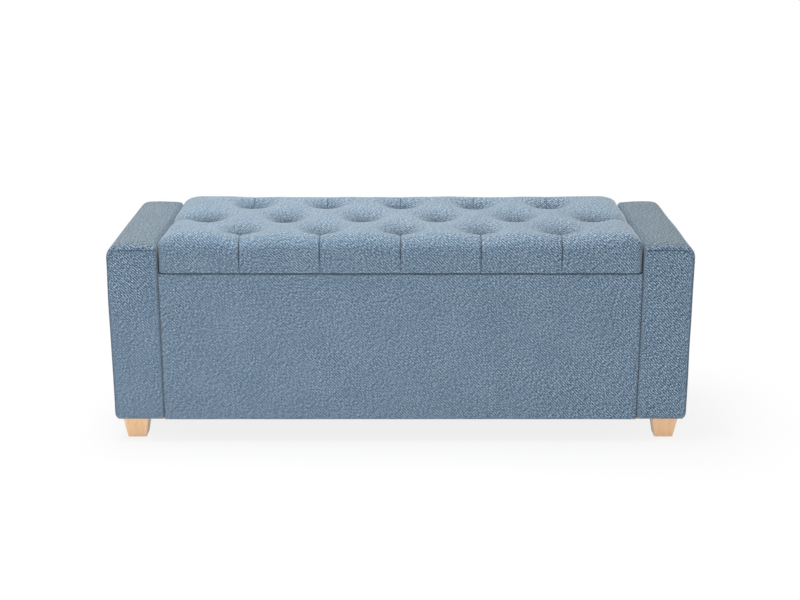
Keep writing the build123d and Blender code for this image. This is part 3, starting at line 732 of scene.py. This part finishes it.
def lid_cushion():
    """The tufted cushion: a wrapped block with hollows, swelled as cloth, then folded."""
    step = 5.2 * MM
    side_roll, front_roll, rear_roll = (0.056, 0.028), (0.031, 0.034), (0.042, LID_ROLL)
    across = axis(-LID_HALF, LID_HALF, side_roll, side_roll, step, OUTER_ROWS_X, 14)
    deep = axis(LID_FRONT, LID_REAR, front_roll, rear_roll, step, [MIDDLE_ROW], 11)
    patches = wrapped(across, deep, LID_CREST, LID_UNDER, (0.014, 0.014), (0.0015, 0.0015), 0.026, step)
    mesh = patch_mesh("lid_cushion", patches)
    obj = piece("lid_cushion", mesh, "lid", FABRIC, "upholstery_fabric", "lid_cover", "lid_foam")
    base, normals = read(mesh)
    keep(mesh, "base", base)
    keep(mesh, "facing", normals)
    start = base.copy()
    start -= normals * lid_hollows(base, normals)[:, None]
    start += normals * (ripple(base, 0.16, 0.8 * MM, 5) * np.clip(normals[:, 2], 0, 1))[:, None]
    write(mesh, start)
    near = np.min([np.linalg.norm(base[:, :2] - tuft, axis=1) for tuft in TUFTS], axis=0)
    pins = np.where((near < HELD_TUFT) & (normals[:, 2] > 0.5), 1.0, 0.0)
    pins = np.where(base[:, 2] < LID_UNDER + HELD_SKIRT, 1.0, pins)
    cap = SWELL_SIDES + SWELL_TOP * np.clip(normals[:, 2], 0, 1)
    settle(obj, pins, SWELL_PRESSURE, SWELL_FRAMES, cap)
    mesh = subdivided(obj)
    base, facing = kept(mesh, "base"), kept(mesh, "facing")
    points, normals = read(mesh)
    deep, dark = lid_folds(base, facing)
    # Painted shade in the tuft bowls, deeper where the hollow is deeper, joined to the painted shade of
    # the folds
    sunk = np.clip((lid_hollows(base, facing) - SHADE_START) / SHADE_RUN, 0, 1)
    dark = np.maximum(dark, BOWL_SHADE * sunk + CORE_SHADE * sunk ** 4)
    write(mesh, points - normals * deep[:, None])
    keep(mesh, "fold", dark)
    for name in ("base", "facing"):
        mesh.attributes.remove(mesh.attributes[name])


# Arms
ARM_CORNER, ARM_FOOT_ROLL, ARM_HEM = 0.006, (0.009, 0.016), 0.014
ARM_CROWN = 3.0 * MM
# SEAM_DARK and INNER_DARK are painted shade: in the seam's groove, and on the inner roll that faces the
# lid
SEAM_IN, SEAM_HALF, SEAM_DEPTH, SEAM_DARK = 2.6 * MM, 1.4 * MM, 1.8 * MM, 0.45
PUCKER_PITCH, PUCKER_DEPTH = 0.017, 0.2 * MM
INNER_DARK = 0.5


def edge_distance(points, top, inner_roll, outer_roll):
    """How far points of an arm's end are inside its outline, and how far from the inner side."""
    outer = HALF_WIDTH - np.abs(points[:, 0])
    inner = np.abs(points[:, 0]) - ARM_INNER
    down = top - points[:, 2]
    found = np.minimum(np.minimum(outer, inner), down)
    for side, roll in ((outer, outer_roll), (inner, inner_roll)):
        hit = (side < roll) & (down < roll)
        found[hit] = roll - np.hypot(roll - side[hit], roll - down[hit])
    return found, inner


def arm_upholstery(name, side):
    """A box arm's cover: softly crowned, with a seam round its front and rear ends."""
    step = 9 * MM
    outer_roll, inner_roll = 0.030, 0.011
    front_fall, rear_fall = 0.0095, 0.0030
    outer, inner = (outer_roll, outer_roll), (inner_roll, inner_roll)
    if side < 0:
        low, high, low_roll, high_roll = -HALF_WIDTH, -ARM_INNER, outer, inner
    else:
        low, high, low_roll, high_roll = ARM_INNER, HALF_WIDTH, inner, outer
    across = axis(low, high, low_roll, high_roll, step, rolls=9)
    deep = axis(-HALF_DEPTH, HALF_DEPTH, (0.028, front_fall), (0.008, rear_fall), step, rolls=8)
    close = [k * 1.3 * MM for k in range(1, 8)]
    patches = wrapped(across, deep, ARM_TOP, ARM_FOOT, (ARM_CORNER, ARM_CORNER), ARM_FOOT_ROLL, ARM_HEM,
                      step, close_rows=close)
    mesh = patch_mesh(name, patches)
    nodes = [f"{'left' if side < 0 else 'right'}_arm_{part}" for part in ("cover", "padding")]
    obj = piece(name, mesh, "base", CROSS_FABRIC_SHADED_TOPS, "upholstery_fabric", *nodes)
    base, normals = read(mesh)
    middle = (low + high) / 2
    crown = 1 - ((base[:, 0] - middle) / 0.055) ** 2
    move = ARM_CROWN * np.clip(crown, 0, 1) * np.clip(normals[:, 2], 0, 1)
    write(mesh, base + normals * move[:, None])
    keep(mesh, "base", base)
    mesh = subdivided(obj)
    base = kept(mesh, "base")
    points, normals = read(mesh)
    end = np.clip((np.abs(base[:, 1]) - (HALF_DEPTH - 0.004)) / 0.003, 0, 1)
    within, from_inner = edge_distance(base, ARM_TOP - front_fall, inner_roll, outer_roll)
    fade = np.clip((from_inner - 0.002) / 0.006, 0.2, 1) * np.clip((base[:, 2] - ARM_FOOT) / 0.03, 0, 1)
    seam = end * fade * groove(within - SEAM_IN, SEAM_HALF)
    pucker = np.sin(base[:, 0] * 2 * math.pi / PUCKER_PITCH) * groove(within, 5 * MM)
    outside = np.clip((base[:, 2] - ARM_FOOT) / 0.04, 0, 1)
    calm = np.clip((np.abs(base[:, 0]) - ARM_INNER) / 0.012, 0.15, 1)
    move = ripple(base, 0.13, 0.45 * MM, 31 + side) * outside * calm
    move += end * (PUCKER_DEPTH * pucker * fade) - SEAM_DEPTH * seam
    write(mesh, points + normals * move[:, None])
    # Painted shade on the inner roll that faces the lid, and in the seam's groove
    inward = np.clip(-side * normals[:, 0], 0, 1) * np.clip((base[:, 2] - ARM_TOP) / 0.02 + 1.2, 0, 1)
    keep(mesh, "fold", np.maximum(SEAM_DARK * seam, INNER_DARK * inward))
    mesh.attributes.remove(mesh.attributes["base"])


# Panels between the arms, whose covers reach a little into the arms' cloth
PANEL_HALF = ARM_INNER + 0.0006


def panel_upholstery(name, outward, top, face, back, edge, nodes):
    """A panel's cover, rolled over its edges, with painted shade where it meets the arms."""
    step = 9 * MM
    across = axis(-PANEL_HALF, PANEL_HALF, (edge, edge), (edge, edge), step)
    tall = axis(ARM_FOOT + 0.0002, top, (edge, 0.8 * edge), (0.8 * edge, 0.6 * edge), step)
    patches = wrapped(across, tall, face, back, (0.6 * edge, 0.6 * edge), (0.001, 0.001), 0.0, 4 * MM)

    def place(points):
        x, y, z = points.T
        return np.stack([-outward * x, outward * z, y], axis=1)

    mesh = patch_mesh(name, patches, place)
    obj = piece(name, mesh, "base", FABRIC, "upholstery_fabric", *nodes)
    mesh = subdivided(obj)
    points, normals = read(mesh)
    facing = np.clip(normals[:, 1] * outward, 0, 1) ** 2
    move = ripple(points, 0.22, 0.45 * MM, 41 + outward) * facing - 0.3 * MM
    write(mesh, points + normals * move[:, None])
    # Painted shade along the line where the panel meets the arms
    keep(mesh, "fold", 0.7 * groove(ARM_INNER - np.abs(points[:, 0]), 2.2 * MM))
    return obj


# Linings
BORDER, BORDER_LIFT = 0.012, 0.35 * MM
LINING_RIPPLE = 0.2 * MM
STAPLE_PATH = [(-5.0, -0.6), (-4.9, 0.1), (-4.3, 0.45), (4.3, 0.45), (4.9, 0.1), (5.0, -0.6)]
WIRE_SIDES, WIRE_HALF_WIDE, WIRE_HALF_TALL = 6, 0.5, 0.30


def sheet_mesh(name, corner, along, up, seed):
    """A stretched sheet with a flat folded border and slight ripples, and its flat size."""
    corner, along, up = np.array(corner), np.array(along), np.array(up)
    wide, tall = np.linalg.norm(along), np.linalg.norm(up)
    out = np.cross(along, up) / (wide * tall)
    places = []
    for length in (wide, tall):
        inner = np.linspace(BORDER + 0.001, length - BORDER - 0.001, max(4, int(length / 0.012)))
        places.append(np.concatenate([[0, BORDER], inner, [length - BORDER, length]]))
    s, t = np.meshgrid(*places)
    points = corner + s[..., None] * along / wide + t[..., None] * up / tall
    rim = np.minimum(np.minimum(s, wide - s), np.minimum(t, tall - t))
    loose = np.clip((rim - BORDER) / 0.05, 0, 1)
    lift = ripple(points.reshape(-1, 3), 0.12, LINING_RIPPLE, seed).reshape(s.shape) * loose
    lift = lift + np.where(rim < BORDER + 1e-6, BORDER_LIFT, 0)
    points = points + lift[..., None] * out
    return patch_mesh(name, [(points, np.stack([s, t], axis=2), False)]), (float(wide), float(tall))


def staples(name, body, places, out):
    """Wire staples: a rounded crown bent down into the board at both ends."""
    work = bmesh.new()
    out = Vector(out)
    for place, way in places:
        place, way = Vector(place), Vector(way).normalized()
        side = way.cross(out)
        rings = []
        for run, rise in STAPLE_PATH:
            ring = []
            for k in range(WIRE_SIDES):
                turn = 2 * math.pi * k / WIRE_SIDES
                spot = place + way * run * MM + out * (rise + WIRE_HALF_TALL * math.sin(turn)) * MM
                ring.append(work.verts.new(spot + side * WIRE_HALF_WIDE * math.cos(turn) * MM))
            rings.append(ring)
        for one, two in zip(rings, rings[1:]):
            for k in range(WIRE_SIDES):
                after = (k + 1) % WIRE_SIDES
                work.faces.new((one[k], one[after], two[after], two[k]))
    bmesh.ops.recalc_face_normals(work, faces=work.faces)
    mesh = bpy.data.meshes.new(name)
    work.to_mesh(mesh)
    work.free()
    mesh.polygons.foreach_set("use_smooth", np.ones(len(mesh.polygons), bool))
    return piece(name, mesh, body, PLATED, "steel")


def around(low, high, level, spacing):
    """Staple places round a rectangle that lies level."""
    places = []
    for fixed, run in ((1, 0), (0, 1)):
        count = max(2, round((high[run] - low[run]) / spacing))
        for k in range(count):
            at = low[run] + (k + 0.5) * (high[run] - low[run]) / count
            for edge in (low[fixed], high[fixed]):
                spot, way = [0.0, 0.0, level], [0.0, 0.0, 0.0]
                spot[run], spot[fixed], way[run] = at, edge, 1.0
                places.append((spot, way))
    return places


lid_cushion()
for arm_name, arm_side in (("left_arm_upholstery", -1), ("right_arm_upholstery", 1)):
    arm_upholstery(arm_name, arm_side)
front = panel_upholstery("front_panel_upholstery", -1, 0.3890, 0.2098, 0.1902, 0.006,
                         ("front_panel_cover", "front_panel_padding"))
rear = panel_upholstery("rear_panel_upholstery", 1, 0.3868, 0.2041, 0.1880, 0.0014,
                        ("rear_panel_cover",))

# Sheets: name, body, corner, way along, way up, seed, node that it replaces, piece that it rests on
SHEETS = [
    ("front_well_liner", "base", (0.500, -0.1887, 0.0797), (-1.0, 0, 0), (0, 0, 0.3016), 61,
     "front_liner", "front_panel_board"),
    ("rear_well_liner", "base", (-0.500, 0.1867, 0.0797), (1.0, 0, 0), (0, 0, 0.2991), 62,
     "rear_liner", "rear_panel_board"),
    ("left_well_liner", "base", (-0.5241, -0.1645, 0.0797), (0, 0.327, 0), (0, 0, 0.3016), 63,
     "side_liners", "left_arm_upholstery"),
    ("right_well_liner", "base", (0.5241, 0.1625, 0.0797), (0, -0.327, 0), (0, 0, 0.3016), 64,
     "side_liners", "right_arm_upholstery"),
    ("lid_lining_sheet", "lid", (-0.512, 0.194, 0.3903), (1.024, 0, 0), (0, -0.394, 0), 65,
     "lid_lining", "lid_board"),
    ("left_dust_cover", "base", (-0.623, 0.198, 0.0521), (0.086, 0, 0), (0, -0.396, 0), 66,
     "arm_dust_covers", "left_arm_base_board"),
    ("right_dust_cover", "base", (0.537, 0.198, 0.0521), (0.086, 0, 0), (0, -0.396, 0), 67,
     "arm_dust_covers", "right_arm_base_board"),
]
lining_staples = staples("lid_lining_staples", "lid",
                         around((-0.506, -0.194), (0.506, 0.188), 0.3899, 0.046), (0, 0, -1))
staples("dust_cover_staples", "base",
        around((-0.618, -0.193), (-0.542, 0.193), 0.0517, 0.048)
        + around((0.542, -0.193), (0.618, 0.193), 0.0517, 0.048), (0, 0, -1))
for sheet_name, body, corner, along, up, seed, node_name, rests_on in SHEETS:
    mesh, flat = sheet_mesh(sheet_name, corner, along, up, seed)
    obj = piece(sheet_name, mesh, body, LINING, "lining", node_name)


# Floor, world and lamps
WORLD_LIGHT, FLOOR_HALF = 0.36, 14


def backdrop_share(tree):
    """One for rays from the camera, or through gloss or glass, which see plain white."""
    path = node(tree, "ShaderNodeLightPath")
    seen = maths(tree, "MAXIMUM", path.outputs["Is Camera Ray"], path.outputs["Is Glossy Ray"])
    return maths(tree, "MAXIMUM", seen, path.outputs["Is Transmission Ray"])


world = bpy.data.worlds.new("studio")
scene.world = world
world.use_nodes = True
tree = world.node_tree
tree.nodes.clear()
strength = spanned(tree, backdrop_share(tree), 0.0, 1.0, WORLD_LIGHT, 1.0)
sky = node(tree, "ShaderNodeBackground", {"Color": (1.0, 1.0, 1.0, 1.0), "Strength": strength})
tree.links.new(sky.outputs[0], node(tree, "ShaderNodeOutputWorld").inputs["Surface"])

floor_mesh = bpy.data.meshes.new("floor")
floor_corners = [(x * FLOOR_HALF, y * FLOOR_HALF, 0) for x, y in ((-1, -1), (1, -1), (1, 1), (-1, 1))]
floor_mesh.from_pydata(floor_corners, [], [(0, 1, 2, 3)])
floor = bpy.data.objects.new("floor", floor_mesh)
scene.collection.objects.link(floor)
paint, tree = new_material("floor_paint")
matt = node(tree, "ShaderNodeBsdfDiffuse", {"Color": (0.86, 0.86, 0.86, 1.0)})
white = node(tree, "ShaderNodeEmission", {"Color": (1.0, 1.0, 1.0, 1.0), "Strength": 1.0})
spot = object_spot(tree)
away = vectors(tree, "MULTIPLY", spot, (0.7, 1.0, 1.0))
away = node(tree, "ShaderNodeVectorMath", {0: away}, operation="LENGTH").outputs["Value"]
share = maths(tree, "MULTIPLY", backdrop_share(tree), spanned(tree, away, 0.35, 1.1, 0.84, 1.0))
blend = node(tree, "ShaderNodeMixShader", {0: share, 1: matt.outputs[0], 2: white.outputs[0]})
tree.links.new(blend.outputs[0], node(tree, "ShaderNodeOutputMaterial").inputs["Surface"])
floor_mesh.materials.append(paint)


def softbox(name, place, aim, size, power):
    """A rectangular area lamp turned towards a point."""
    lamp = bpy.data.lights.new(name, "AREA")
    lamp.shape = "RECTANGLE"
    lamp.size, lamp.size_y = size
    lamp.energy = power
    obj = bpy.data.objects.new(name, lamp)
    scene.collection.objects.link(obj)
    obj.location = place
    obj.rotation_euler = (Vector(aim) - Vector(place)).to_track_quat("-Z", "Y").to_euler()


softbox("overhead", (-0.35, 0.20, 2.6), (0.0, 0.0, 0.4), (2.2, 1.2), 90.0)
softbox("front_fill", (-0.3, -3.2, 0.25), (0.0, 0.0, 0.25), (2.6, 0.4), 29.0)
